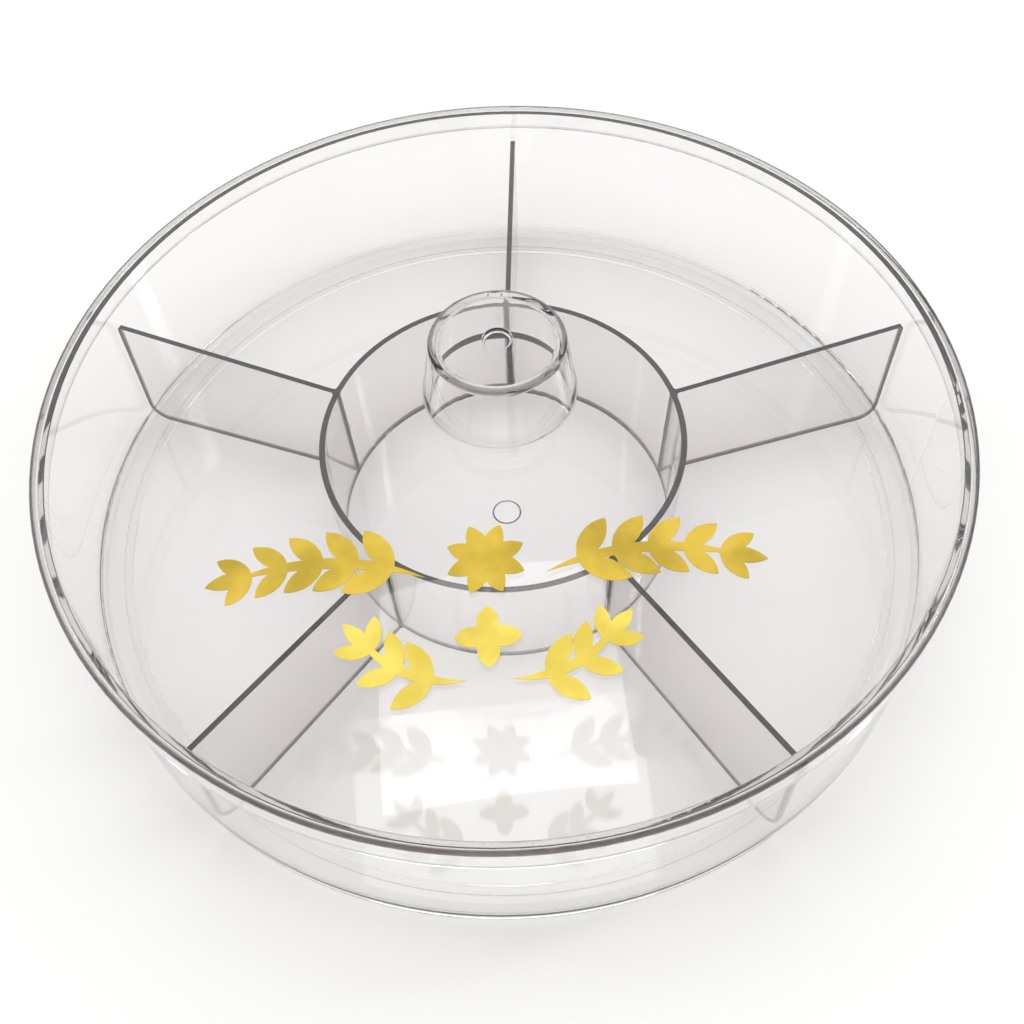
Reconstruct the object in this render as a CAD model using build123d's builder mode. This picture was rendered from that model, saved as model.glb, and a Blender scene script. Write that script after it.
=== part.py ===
"""Round divided serving plate: a clear tray, a lift-out divider insert and a knobbed lid.

Millimetres, +Z up. The origin is the centre of the tray's foot, on the surface it stands on.
"""
import math
import os

from build123d import *

os.makedirs("parts", exist_ok=True)

# tray
FOOT_H = 1.0            # foot ring under the floor
FOOT_W = 3.0            # radial width of the foot ring
FOOT_IN = 9.0           # foot ring's outer edge, inside the tray's lower edge
FLOOR_T = 2.6           # floor
DEPTH = 60.2            # floor to rim
WALL_T = 2.0            # wall
WALL_LEAN = 0.6         # radius gained from floor to rim
CORNER_R = 4.0          # rounded inner corner between floor and wall
BASE_R = 2.2            # rounded outer lower edge
RIM_EDGE = 0.3          # rounded rim edges
TRAY_MARK_R = 5.2       # moulding mark under the floor

# lid
LID_R = 150.0           # outer radius, the widest place of the whole plate
PLATE_T = 2.4           # plate
SKIRT_T = 2.0           # skirt
SKIRT_H = 10.6          # skirt, from the upper face down
LID_EDGE = 1.2          # rounded upper edge
SKIRT_EDGE = 0.5        # rounded lower edges
SKIRT_CORNER = 0.3      # rounded inner corner under the plate
CROWN_H = 6.4           # plate's climb from its edge to the knob
KNOB_H = 22.3           # knob above the plate
KNOB_TOP_R = 21.2       # knob at its top
KNOB_FOOT_R = 24.4      # knob at the plate
KNOB_WALL = 2.2         # knob's wall
KNOB_TOP_T = 2.4        # knob's top
KNOB_EDGE = 1.5         # rounded upper edge
KNOB_ROOT = 0.6         # rounding where knob and plate meet, above and below
KNOB_MARK_R = 4.6       # moulding mark in the knob's top
MARK_D = 1.2            # depth of both moulding marks
MARK_ROUND = 0.8        # rounded bottom of both moulding marks

# divider insert
DIVIDERS = 5
DIVIDER_TURN = 86.2     # direction of the first divider, degrees from +X
DIVIDER_T = 1.8         # divider
DIVIDER_RISE = 5.0      # how far the top edge climbs from ring to tip
LOW_CORNER_R = 7.0      # rounded lower outer corner
TIP_ROUND = 0.8         # rounded upper outer corner
RING_R = 61.3           # ring, outer radius at its top
RING_LEAN = 1.6         # radius lost from the ring's top to its bottom
RING_T = 2.0            # ring's wall
RING_H = 43.4           # ring, floor to top
JOIN_ROUND = 1.2        # rounding where a divider meets the ring

# gold film
FILM_T = 0.2            # film
SPRIG_L = 57.0          # upper row: stem
SPRIG_LEAF = 17.5       # upper row: longest leaf
ROSETTE_R = 12.0        # upper row: middle motif
LAUREL_L = 34.0         # lower row: stem
LAUREL_LEAF = 15.5      # lower row: longest leaf
BUD_R = 9.5             # lower row: middle motif

# clearances
SKIRT_GAP = 0.4         # skirt around the tray's rim
TIP_GAP = 0.7           # divider ends inside the tray's wall
SEAT_GAP = 0.1          # air under the insert and the lid, which touch only at high spots

# heights and radii that follow
FLOOR_Z = FOOT_H + FLOOR_T
RIM_Z = FLOOR_Z + DEPTH
LID_Z = RIM_Z + SEAT_GAP + PLATE_T
CROWN_Z = LID_Z + CROWN_H
KNOB_Z = CROWN_Z + KNOB_H
RIM_R = LID_R - SKIRT_T - SKIRT_GAP
BASE_OUT_R = RIM_R - WALL_LEAN
INSERT_Z = FLOOR_Z + SEAT_GAP
RING_Z = INSERT_Z + RING_H
TIP_Z = RING_Z + DIVIDER_RISE
FILM_X = -LID_R / 23
ROW_UP_Y = -LID_R * 0.422
ROW_LOW_Y = -LID_R * 0.608


def wall_inner_r(z):
    """Inner radius of the tray's wall at a height."""
    return RIM_R - WALL_T - WALL_LEAN * (RIM_Z - z) / DEPTH


def rounded_outline(corners):
    """Closed outline through corners given as (x, y, rounding), drawn into the open line block."""
    starts = []
    ends = []
    for i, (x, y, rounding) in enumerate(corners):
        here = Vector(x, y)
        before = Vector(*corners[i - 1][:2]) - here
        after = Vector(*corners[(i + 1) % len(corners)][:2]) - here
        half = math.radians(before.get_angle(after)) / 2
        reach = rounding / math.tan(half)
        starts.append(here + before.normalized() * reach)
        ends.append(here + after.normalized() * reach)
        if rounding:
            middle = (before.normalized() + after.normalized()).normalized()
            crown = here + middle * (rounding / math.sin(half) - rounding)
            ThreePointArc(starts[i], crown, ends[i])
    for i in range(len(corners)):
        Line(ends[i - 1], starts[i])


def crescent(start, end, bow, thickness):
    """Pointed sliver between two arcs from start to end; bow is the first arc's height."""
    a = Vector(*start)
    b = Vector(*end)
    chord = b - a
    side = Vector(-chord.Y, chord.X).normalized()
    middle = (a + b) * 0.5
    ThreePointArc(a, middle + side * bow, b)
    ThreePointArc(a, middle + side * (bow + thickness), b)


def export(builder, name):
    """Name the finished piece and write it."""
    builder.part.label = name
    export_step(builder.part, f"parts/{name}.step")


# tray: one turned outline, floor and wall in one piece
foot_r = BASE_OUT_R - FOOT_IN
with BuildPart() as tray:
    with BuildSketch(Plane.XZ):
        with BuildLine():
            rounded_outline([
                (0, FOOT_H + MARK_D, 0),
                (TRAY_MARK_R - MARK_D / 3, FOOT_H + MARK_D, MARK_ROUND),
                (TRAY_MARK_R, FOOT_H, MARK_ROUND / 4),
                (foot_r - FOOT_W, FOOT_H, 0),
                (foot_r - FOOT_W, 0, FOOT_H / 3),
                (foot_r, 0, FOOT_H / 3),
                (foot_r, FOOT_H, 0),
                (BASE_OUT_R, FOOT_H, BASE_R),
                (RIM_R, RIM_Z, RIM_EDGE),
                (RIM_R - WALL_T, RIM_Z, RIM_EDGE),
                (wall_inner_r(FLOOR_Z), FLOOR_Z, CORNER_R),
                (0, FLOOR_Z, 0),
            ])
        make_face()
    revolve(axis=Axis.Z)
export(tray, "tray")

# lid: plate, skirt and hollow knob in one turned outline
skirt_in_r = LID_R - SKIRT_T
under_z = LID_Z - PLATE_T
with BuildPart() as lid:
    with BuildSketch(Plane.XZ):
        with BuildLine():
            rounded_outline([
                (0, KNOB_Z - MARK_D, 0),
                (KNOB_MARK_R - MARK_D / 3, KNOB_Z - MARK_D, MARK_ROUND),
                (KNOB_MARK_R, KNOB_Z, MARK_ROUND / 4),
                (KNOB_TOP_R, KNOB_Z, KNOB_EDGE),
                (KNOB_FOOT_R, CROWN_Z, KNOB_ROOT),
                (LID_R, LID_Z, LID_EDGE),
                (LID_R, LID_Z - SKIRT_H, SKIRT_EDGE),
                (skirt_in_r, LID_Z - SKIRT_H, SKIRT_EDGE),
                (skirt_in_r, under_z, SKIRT_CORNER),
                (KNOB_FOOT_R - KNOB_WALL, CROWN_Z - PLATE_T, KNOB_ROOT),
                (KNOB_TOP_R - KNOB_WALL, KNOB_Z - KNOB_TOP_T, KNOB_EDGE),
                (0, KNOB_Z - KNOB_TOP_T, 0),
            ])
        make_face()
    revolve(axis=Axis.Z)
export(lid, "lid")

# divider insert: a leaning ring, then the dividers grown out of its wall
ring_low_r = RING_R - RING_LEAN
tip_low_r = wall_inner_r(FLOOR_Z) - TIP_GAP
tip_top_r = wall_inner_r(TIP_Z) - TIP_GAP
with BuildPart() as insert:
    with BuildSketch(Plane.XZ):
        with BuildLine():
            Polyline(
                (ring_low_r - RING_T, INSERT_Z),
                (ring_low_r, INSERT_Z),
                (RING_R, RING_Z),
                (RING_R - RING_T, RING_Z),
                close=True,
            )
        make_face()
    revolve(axis=Axis.Z)
    for i in range(DIVIDERS):
        turn = math.radians(DIVIDER_TURN + i * 360 / DIVIDERS)
        upright = Plane(
            origin=(0, 0, 0),
            x_dir=(math.cos(turn), math.sin(turn), 0),
            z_dir=(math.sin(turn), -math.cos(turn), 0),
        )
        with BuildSketch(upright):
            with BuildLine():
                rounded_outline([
                    (ring_low_r - RING_T / 2, INSERT_Z, 0),
                    (tip_low_r, INSERT_Z, LOW_CORNER_R),
                    (tip_top_r, TIP_Z, TIP_ROUND),
                    (RING_R + 2 * JOIN_ROUND, RING_Z, 0),
                    (RING_R - RING_T / 2, RING_Z, 0),
                ])
            make_face()
        extrude(amount=DIVIDER_T / 2, both=True)
    joins = insert.edges().filter_by(
        lambda e: e.length > RING_H * 0.9 and e.length < RING_H * 1.1
        and abs(math.hypot(e.center().X, e.center().Y) - RING_R) < RING_LEAN
    )
    fillet(joins, radius=JOIN_ROUND)
export(insert, "divider_insert")


# gold film: leaf sprigs, buds and a rosette, each cut piece on the lid's sloping upper face
def film_piece(name, strokes):
    """One cut piece of film, the union of its crescents (start, end, bow, thickness)."""
    with BuildPart() as film:
        with BuildSketch(Plane.XY.offset(LID_Z)):
            for stroke in strokes:
                with BuildLine():
                    crescent(*stroke)
                make_face()
        extrude(amount=CROWN_H + FILM_T)
        with BuildSketch(Plane.XZ):
            with BuildLine():
                Polyline(
                    (KNOB_FOOT_R, CROWN_Z),
                    (LID_R, LID_Z),
                    (LID_R, LID_Z + FILM_T),
                    (KNOB_FOOT_R, CROWN_Z + FILM_T),
                    close=True,
                )
            make_face()
        revolve(axis=Axis.Z, mode=Mode.INTERSECT)
    export(film, name)


def leaf(x, y, direction, length, width):
    """Leaf stroke from (x, y), pointing along a direction in degrees."""
    turn = math.radians(direction)
    tip = (x + length * math.cos(turn), y + length * math.sin(turn))
    return ((x, y), tip, -width / 2, width)


def sprig(side, start, length, rise, bow, pairs, longest, splay):
    """Bowed stem with leaf pairs and an end leaf; side is 1, or -1 for the mirrored piece.

    The stem starts at (x, y) and climbs at rise degrees; bow is its height over its length.
    """
    stem = 0.2 * longest
    lift = bow * length
    along = Vector(1, 0).rotate(Axis.Z, rise)
    across = Vector(0, 1).rotate(Axis.Z, rise)
    root = Vector(*start)
    tip = root + along * length
    strokes = [((root.X, root.Y), (tip.X, tip.Y), lift, stem)]
    for i in range(pairs):
        t = (i + 0.9) / (pairs + 0.5)
        at = root + along * (length * t) + across * ((lift + stem / 2) * 4 * t * (1 - t))
        lean = rise + math.degrees(math.atan(4 * (lift + stem / 2) * (1 - 2 * t) / length))
        size = longest * (1.0 - 0.35 * t)
        for way in (1, -1):
            strokes.append(leaf(at.X, at.Y, lean + way * splay, size, 0.43 * size))
    strokes.append(leaf(at.X, at.Y, lean, 0.8 * longest, 0.3 * longest))
    return [
        ((FILM_X + side * a[0], a[1]), (FILM_X + side * b[0], b[1]), side * c, side * d)
        for a, b, c, d in strokes
    ]


def rosette(y, petals, reach, width, turn):
    """Ring of leaves around a point on the rows' middle, each starting just past that point."""
    strokes = []
    for i in range(petals):
        direction = turn + i * 360 / petals
        back = math.radians(direction)
        past = 0.08 * reach
        start = (FILM_X - past * math.cos(back), y - past * math.sin(back))
        strokes.append(leaf(*start, direction, reach + past, width * reach))
    return strokes


for side, word in ((1, "right"), (-1, "left")):
    film_piece(f"film_sprig_{word}", sprig(
        side, (SPRIG_LEAF, ROW_UP_Y - 0.3 * SPRIG_LEAF), SPRIG_L, 3, 0.063, 5, SPRIG_LEAF, 40))
    film_piece(f"film_laurel_{word}", sprig(
        side, (0.4 * LAUREL_LEAF, ROW_LOW_Y - 0.66 * LAUREL_LEAF), LAUREL_L, 27, -0.185, 3,
        LAUREL_LEAF, 46))
film_piece("film_rosette", rosette(ROW_UP_Y, 8, ROSETTE_R, 0.5, 22.5))
film_piece("film_bud", rosette(ROW_LOW_Y + 0.3 * BUD_R, 4, BUD_R, 0.68, 0))
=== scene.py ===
"""Looks of the clear divided serving plate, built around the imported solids, in metres."""

import bpy
import numpy as np
from mathutils import Matrix, Vector

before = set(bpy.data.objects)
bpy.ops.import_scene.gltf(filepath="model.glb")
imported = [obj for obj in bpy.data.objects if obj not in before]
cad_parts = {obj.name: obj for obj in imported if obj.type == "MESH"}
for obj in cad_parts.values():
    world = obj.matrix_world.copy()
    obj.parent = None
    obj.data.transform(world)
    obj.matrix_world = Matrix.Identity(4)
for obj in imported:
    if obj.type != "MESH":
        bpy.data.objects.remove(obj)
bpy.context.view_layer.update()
scene = bpy.context.scene

# clear plastic: colours, density of the tint in its depth, and haze as a roughness
PLASTIC_IOR = 1.49
CLEAN = (0.998, 0.994, 0.994)           # surface of the tray and the lid
CLEAN_INSERT = (0.94, 0.922, 0.92)      # surface of the divider insert, greyer
SMEARED = 0.985                         # share of the colour that a smear lets through
DEPTH_TINT = (0.31, 0.235, 0.23)        # light that has crossed much plastic
EDGE_SHADE_PAINTED = (0.072, 0.053, 0.051)       # painted shade on edges, standing in for the dark lines that refraction draws there
SQUARE_ON = (0.995, 0.994, 0.993)       # light on its way through, square to a wall
EDGE_ON = (0.24, 0.23, 0.225)           # light on its way through, along a wall
EDGE_ON_POWER = 3.0                     # keeps the weaker light to walls met nearly along
TRAY_DENSITY = 2.0
TRAY_HAZE = 0.012
INSERT_DENSITY = 52.0
INSERT_HAZE = 0.014
LID_DENSITY = 4.0
LID_HAZE = 0.010

# marks on the plastic: stretch and turn of each pattern, its scale per metre and where it shows
SMEAR_STRETCH = (1, 1, 1.5)
SMEAR_SCALE = 22.0
SMEAR_RANGE = (0.48, 0.72)
SMEAR_HAZE = 2.2                        # haze added by a smear, as a share of the clean haze
HAIR_STRETCH = (240, 14, 60)
HAIR_TURN = (0, 0, 0.5)
HAIR_SCALE = 3.0
HAIR_RANGE = (0.66, 0.74)
HAIR_HAZE = 1.5                         # haze added by a hairline scratch
WAVE_SCALE = 14.0
WAVE_DEPTH = 0.004
WAVE_STRENGTH = 0.01

# gold film: dull and bright ends of its tone, for the upper and the lower row; the upper row is a darker
# copy and the lower row a lighter copy of one film, painted shade and painted light for how the light
# falls on each row
GOLD_PAINTED_SHADE = ((0.50, 0.355, 0.042), (0.74, 0.527, 0.073))
GOLD_PAINTED_LIGHT = ((0.68, 0.53, 0.085), (0.88, 0.72, 0.14))
LOWER_ROW = ("film_laurel_left", "film_laurel_right", "film_bud")
FILM_METAL = 0.75
FILM_ROUGH = 0.34
GRAIN_ROUGH = 0.16                      # roughness added by the rolled grain
GRAIN_STRETCH = (900, 220, 900)
GRAIN_TURN = (0, 0, 0.6)
GRAIN_SCALE = 3.0
GRAIN_DEPTH = 0.0002
GRAIN_STRENGTH = 0.12
CLOUD_SCALE = 60.0
CLOUD_RANGE = (0.3, 0.7)

# painted shade along edges, standing in for dark refraction lines: how far from its edge each band
# starts, and how far it is at its full strength
LOW_CORNER = 0.007                      # dividers' rounded lower corner
BASE_UP = (0.0032, 0.0015)              # tray's lower outer edge
BASE_IN = (0.0035, 0.002)
BASE_STRENGTH = 0.25
BASE_HEIGHT = 0.006                     # lowest part of the tray, where its base is widest
DIVIDER_IN = (0.0018, 0.0012)           # dividers' bottom edge and outer end
KNOB_IN = (0.0021, 0.0014)              # rim of the knob's top
KNOB_DOWN = (0.002, 0.001)
KNOB_STRENGTH = 0.85
PLATE_IN = (0.0017, 0.001)              # upper edge of the lid's plate
PLATE_DOWN = (0.0013, 0.0007)
PLATE_EDGE = 0.0015                     # outermost part of the plate, where its edge is highest
SKIRT_UP = (0.0009, 0.0005)             # lower edge of the lid's skirt
SKIRT_STRENGTH = 0.5

# floor and sky
FLOOR_HALF = 20.0
FLOOR_DROP = 0.0002                     # floor under the foot
FLOOR_WHITE = (0.95, 0.95, 0.95)
SKY_COLOUR = (1.0, 0.995, 0.99)
SKY_RISE = (0.05, 0.48)                 # upward share of a direction, low and high in the sky
SKY_LIGHT = (0.5, 1.0)                  # strength at those two

# camera, from the fitted view of the photograph
LENS_MM = 43.72
SENSOR_MM = 36.0
VIEW = Matrix((
    (0.99872, 0.05059, 0.0, 0.00184),
    (-0.04149, 0.81915, -0.5721, -0.2588),
    (-0.02894, 0.57137, 0.8202, 0.37395),
    (0, 0, 0, 1),
))


class Wire:
    """A shader socket that takes part in Python sums; each sum adds its Math node."""

    def __init__(self, tree, socket):
        self.tree = tree
        self.socket = socket

    @staticmethod
    def node(tree, kind, settings=None, sockets=None, out=0):
        """A node of any kind: settings first, then the values or links of its sockets."""
        made = tree.nodes.new(kind)
        for key, value in (settings or {}).items():
            setattr(made, key, value)
        for key, value in (sockets or {}).items():
            if isinstance(value, Wire):
                tree.links.new(value.socket, made.inputs[key])
            else:
                made.inputs[key].default_value = value
        return Wire(tree, made.outputs[out])

    def math(self, operation, *others):
        """A Math node on this value and others."""
        return Wire.node(
            self.tree, "ShaderNodeMath", {"operation": operation}, dict(enumerate((self, *others)))
        )

    def __add__(self, other):
        return self.math("ADD", other)

    __radd__ = __add__

    def __mul__(self, other):
        return self.math("MULTIPLY", other)

    __rmul__ = __mul__

    def __sub__(self, other):
        return self.math("SUBTRACT", other)

    def __rsub__(self, other):
        return Wire.node(self.tree, "ShaderNodeMath", {"operation": "SUBTRACT"}, {0: other, 1: self})

    def __pow__(self, other):
        return self.math("POWER", other)

    def between(self, low, high, to_low=0.0, to_high=1.0):
        """The value carried smoothly from one range to another, held at the ends."""
        return Wire.node(
            self.tree, "ShaderNodeMapRange", {"interpolation_type": "SMOOTHSTEP"},
            {"Value": self, "From Min": low, "From Max": high, "To Min": to_low, "To Max": to_high},
        )

    def under(self, edge, band, full=1.0):
        """Rises from 0 to full while the value climbs from band[0] to band[1] under an edge."""
        return self.between(edge - band[0], edge - band[1], 0.0, full)

    def over(self, edge, band, full=1.0):
        """Rises from 0 to full while the value sinks from band[0] to band[1] over an edge."""
        return self.between(edge + band[1], edge + band[0], full, 0.0)


def new_material(name):
    """An empty node material and its tree."""
    made = bpy.data.materials.new(name)
    made.use_nodes = True
    made.node_tree.nodes.clear()
    return made, made.node_tree


def output(tree, surface, volume=None):
    """Close a tree with its output node."""
    end = tree.nodes.new("ShaderNodeOutputMaterial")
    tree.links.new(surface.socket, end.inputs["Surface"])
    if volume:
        tree.links.new(volume.socket, end.inputs["Volume"])


def place(tree, scale=(1, 1, 1), turn=(0, 0, 0)):
    """Object coordinates, stretched and turned."""
    here = Wire.node(tree, "ShaderNodeTexCoord", out="Object")
    return Wire.node(tree, "ShaderNodeMapping", {}, {"Vector": here, "Scale": scale, "Rotation": turn})


def noise(tree, at, scale, detail=3.0, rough=0.5):
    """Smooth random field between 0 and 1."""
    return Wire.node(
        tree, "ShaderNodeTexNoise", {},
        {"Vector": at, "Scale": scale, "Detail": detail, "Roughness": rough},
    )


def blend_colour(tree, amount, low, high):
    """Colour between two others, each three numbers or a link."""
    low, high = (c if isinstance(c, Wire) else (*c, 1.0) for c in (low, high))
    return Wire.node(
        tree, "ShaderNodeMix", {"data_type": "RGBA"}, {"Factor": amount, 6: low, 7: high}, out=2
    )


def see_through(tree, colour):
    """Shader that lets light straight on, in a colour."""
    return Wire.node(tree, "ShaderNodeBsdfTransparent", {}, {"Color": (*colour, 1.0)})


def clear_plastic(name, clean, density, haze, edge):
    """Polished clear moulding: grey in its depth, with faint smears and a slow moulded wave.

    edge takes the radius and the height, and gives 1 where shade is painted along the plastic's edges.
    Light that only passes through on its way to other things goes straight on, weaker where it
    meets the wall edge-on.
    """
    made, tree = new_material(name)
    smear = noise(tree, place(tree, SMEAR_STRETCH), SMEAR_SCALE, detail=4.0, rough=0.55)
    smear = smear.between(*SMEAR_RANGE)
    hair = noise(tree, place(tree, HAIR_STRETCH, HAIR_TURN), HAIR_SCALE, detail=2.0)
    hair = hair.between(*HAIR_RANGE)
    rough = haze + smear * (haze * SMEAR_HAZE) + hair * (haze * HAIR_HAZE)
    wave = noise(tree, place(tree), WAVE_SCALE, detail=1.0, rough=0.4)
    normal = Wire.node(
        tree, "ShaderNodeBump", {}, {"Strength": WAVE_STRENGTH, "Distance": WAVE_DEPTH, "Height": wave}
    )
    here = Wire.node(tree, "ShaderNodeTexCoord", out="Object")
    x, y, z = (Wire.node(tree, "ShaderNodeSeparateXYZ", {}, {0: here}, out=axis) for axis in "XYZ")
    surface = blend_colour(tree, smear, clean, [c * SMEARED for c in clean])
    # painted shade: the colour darkens towards the edge shade colour where edge gives 1, standing in for
    # dark refraction lines
    tint = blend_colour(tree, edge((x * x + y * y) ** 0.5, z), surface, EDGE_SHADE_PAINTED)
    body = Wire.node(
        tree, "ShaderNodeBsdfPrincipled", {},
        {
            "Base Color": tint,
            "Roughness": rough,
            "IOR": PLASTIC_IOR,
            "Transmission Weight": 1.0,
            "Normal": normal,
        },
    )
    depth = Wire.node(
        tree, "ShaderNodeVolumeAbsorption", {}, {"Color": (*DEPTH_TINT, 1.0), "Density": density}
    )
    shadow_ray = Wire.node(tree, "ShaderNodeLightPath", out="Is Shadow Ray")
    diffuse_ray = Wire.node(tree, "ShaderNodeLightPath", out="Is Diffuse Ray")
    edge_on = Wire.node(tree, "ShaderNodeLayerWeight", {}, {"Blend": 0.5}, out="Facing") ** EDGE_ON_POWER
    passing = Wire.node(
        tree, "ShaderNodeMixShader", {},
        {0: edge_on, 1: see_through(tree, SQUARE_ON), 2: see_through(tree, EDGE_ON)},
    )
    whole = Wire.node(
        tree, "ShaderNodeMixShader", {}, {0: shadow_ray.math("MAXIMUM", diffuse_ray), 1: body, 2: passing}
    )
    output(tree, whole, depth)
    return made


def gold_film(name, dull, bright):
    """Metallic gold film: fine rolled grain, a soft cloud of tone and a little unevenness."""
    made, tree = new_material(name)
    cloud = noise(tree, place(tree), CLOUD_SCALE).between(*CLOUD_RANGE)
    grain = noise(tree, place(tree, GRAIN_STRETCH, GRAIN_TURN), GRAIN_SCALE, detail=2.0)
    colour = blend_colour(tree, cloud, dull, bright)
    normal = Wire.node(
        tree, "ShaderNodeBump", {}, {"Strength": GRAIN_STRENGTH, "Distance": GRAIN_DEPTH, "Height": grain}
    )
    body = Wire.node(
        tree, "ShaderNodeBsdfPrincipled", {},
        {
            "Base Color": colour,
            "Roughness": FILM_ROUGH + grain * GRAIN_ROUGH,
            "Metallic": FILM_METAL,
            "Normal": normal,
        },
    )
    output(tree, body)
    return made


def studio_floor(name):
    """Plain white sweep that keeps the shadow."""
    made, tree = new_material(name)
    body = Wire.node(
        tree, "ShaderNodeBsdfPrincipled", {},
        {"Base Color": (*FLOOR_WHITE, 1.0), "Roughness": 0.6, "Specular IOR Level": 0.2},
    )
    output(tree, body)
    return made


def radius_and_height(node_name):
    """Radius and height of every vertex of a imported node."""
    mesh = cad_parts[node_name].data
    flat = np.empty(len(mesh.vertices) * 3)
    mesh.vertices.foreach_get("co", flat)
    x, y, z = flat.reshape(-1, 3).T
    return np.hypot(x, y), z


def tray_base_shade(r, z):
    """Painted shade: a soft dark band around the tray's lower outer edge, standing in for its contact
    shadow.
    """
    return z.over(base_z, BASE_UP, BASE_STRENGTH) * r.under(base_r, BASE_IN)


def insert_edge_shade(r, z):
    """Painted shade along the bottom edge, rounded lower corner and outer end of the dividers.

    Distance from the outline: that from a point one corner radius inside both edges, less the radius.
    """
    out = (r - (tip_r - LOW_CORNER)).math("MAXIMUM", 0.0)
    down = (insert_low + LOW_CORNER - z).math("MAXIMUM", 0.0)
    return ((out * out + down * down) ** 0.5).under(LOW_CORNER, DIVIDER_IN)


def lid_edge_shade(r, z):
    """Painted shade on the rim of the knob's top, the upper edge of the plate and the lower edge of the
    skirt.
    """
    knob = r.under(knob_r, KNOB_IN, KNOB_STRENGTH) * z.under(knob_top, KNOB_DOWN)
    plate = r.under(lid_r, PLATE_IN) * z.under(plate_z, PLATE_DOWN)
    skirt = z.over(skirt_z, SKIRT_UP, SKIRT_STRENGTH)
    return knob.math("MAXIMUM", plate).math("MAXIMUM", skirt)


# places of the edges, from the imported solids
tray_rs, tray_zs = radius_and_height("tray")
base_r = tray_rs[tray_zs < BASE_HEIGHT].max().item()
base_z = tray_zs[tray_rs > base_r - BASE_IN[0]].min().item()
insert_rs, insert_zs = radius_and_height("divider_insert")
tip_r = insert_rs.max().item()
insert_low = insert_zs.min().item()
lid_rs, lid_zs = radius_and_height("lid")
lid_r = lid_rs.max().item()
plate_z = lid_zs[lid_rs > lid_r - PLATE_EDGE].max().item()
skirt_z = lid_zs.min().item()
knob_top = lid_zs.max().item()
knob_r = lid_rs[lid_zs > knob_top - KNOB_DOWN[0]].max().item()

# finishes
finishes = {
    "tray": clear_plastic("clear_tray", CLEAN, TRAY_DENSITY, TRAY_HAZE, tray_base_shade),
    "divider_insert": clear_plastic(
        "clear_insert", CLEAN_INSERT, INSERT_DENSITY, INSERT_HAZE, insert_edge_shade
    ),
    "lid": clear_plastic("clear_lid", CLEAN, LID_DENSITY, LID_HAZE, lid_edge_shade),
}
# painted light and shade: one gold film in a darker copy for the upper row and a lighter copy for the
# lower row
upper_row_gold_painted_shade = gold_film("gold_film_painted_shade", *GOLD_PAINTED_SHADE)
lower_row_gold_painted_light = gold_film("gold_film_painted_light", *GOLD_PAINTED_LIGHT)
for node_name in LOWER_ROW:
    finishes[node_name] = lower_row_gold_painted_light
for node_name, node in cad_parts.items():
    node.data.materials.clear()
    node.data.materials.append(finishes.get(node_name, upper_row_gold_painted_shade))

# floor
floor_mesh = bpy.data.meshes.new("studio_floor")
floor_mesh.from_pydata(
    [
        (-FLOOR_HALF, -FLOOR_HALF, 0),
        (FLOOR_HALF, -FLOOR_HALF, 0),
        (FLOOR_HALF, FLOOR_HALF, 0),
        (-FLOOR_HALF, FLOOR_HALF, 0),
    ],
    [],
    [(0, 1, 2, 3)],
)
floor = bpy.data.objects.new("studio_floor", floor_mesh)
floor_mesh.materials.append(studio_floor("white_sweep"))
scene.collection.objects.link(floor)
floor.location.z = -FLOOR_DROP

# camera
eye = bpy.data.cameras.new("camera")
eye.lens = LENS_MM
eye.sensor_width = SENSOR_MM
camera = bpy.data.objects.new("camera", eye)
camera.matrix_world = VIEW
scene.collection.objects.link(camera)
scene.camera = camera


def lamp(name, width, depth, power, at, towards):
    """Soft box of a width and depth, in watts, at a place, facing a point."""
    data = bpy.data.lights.new(name, "AREA")
    data.shape = "RECTANGLE"
    data.size = width
    data.size_y = depth
    data.energy = power
    made = bpy.data.objects.new(name, data)
    made.rotation_euler = (Vector(at) - Vector(towards)).to_track_quat("Z", "Y").to_euler()
    made.location = at
    scene.collection.objects.link(made)


lamp("overhead", width=0.56, depth=0.42, power=1.4, at=(-0.04, 0.62, 1.9), towards=(0, 0, 0))
lamp("strip_left", width=0.12, depth=1.0, power=1.5, at=(-1.3, 0.3, 1.5), towards=(0, 0, 0))
lamp("strip_right", width=0.12, depth=1.0, power=3.3, at=(1.3, 0.3, 1.5), towards=(0, 0, 0))
lamp("front_soft", width=0.5, depth=0.3, power=1.6, at=(-0.1, -1.5, 1.1), towards=(0, 0, 0.05))

# sky, brighter overhead than at the horizon
world = bpy.data.worlds.new("studio")
scene.world = world
world.use_nodes = True
sky = world.node_tree
sky.nodes.clear()
direction = Wire.node(sky, "ShaderNodeTexCoord", out="Generated")
up = Wire.node(sky, "ShaderNodeSeparateXYZ", {}, {0: direction}, out="Z")
light = Wire.node(
    sky, "ShaderNodeBackground", {},
    {"Color": (*SKY_COLOUR, 1.0), "Strength": up.between(*SKY_RISE, *SKY_LIGHT)},
)
sky_output = sky.nodes.new("ShaderNodeOutputWorld")
sky.links.new(light.socket, sky_output.inputs["Surface"])

# enough bounces for light to cross every wall
scene.cycles.max_bounces = 32
scene.cycles.transmission_bounces = 32
scene.cycles.glossy_bounces = 8
scene.cycles.transparent_max_bounces = 32
scene.view_settings.view_transform = "Standard"
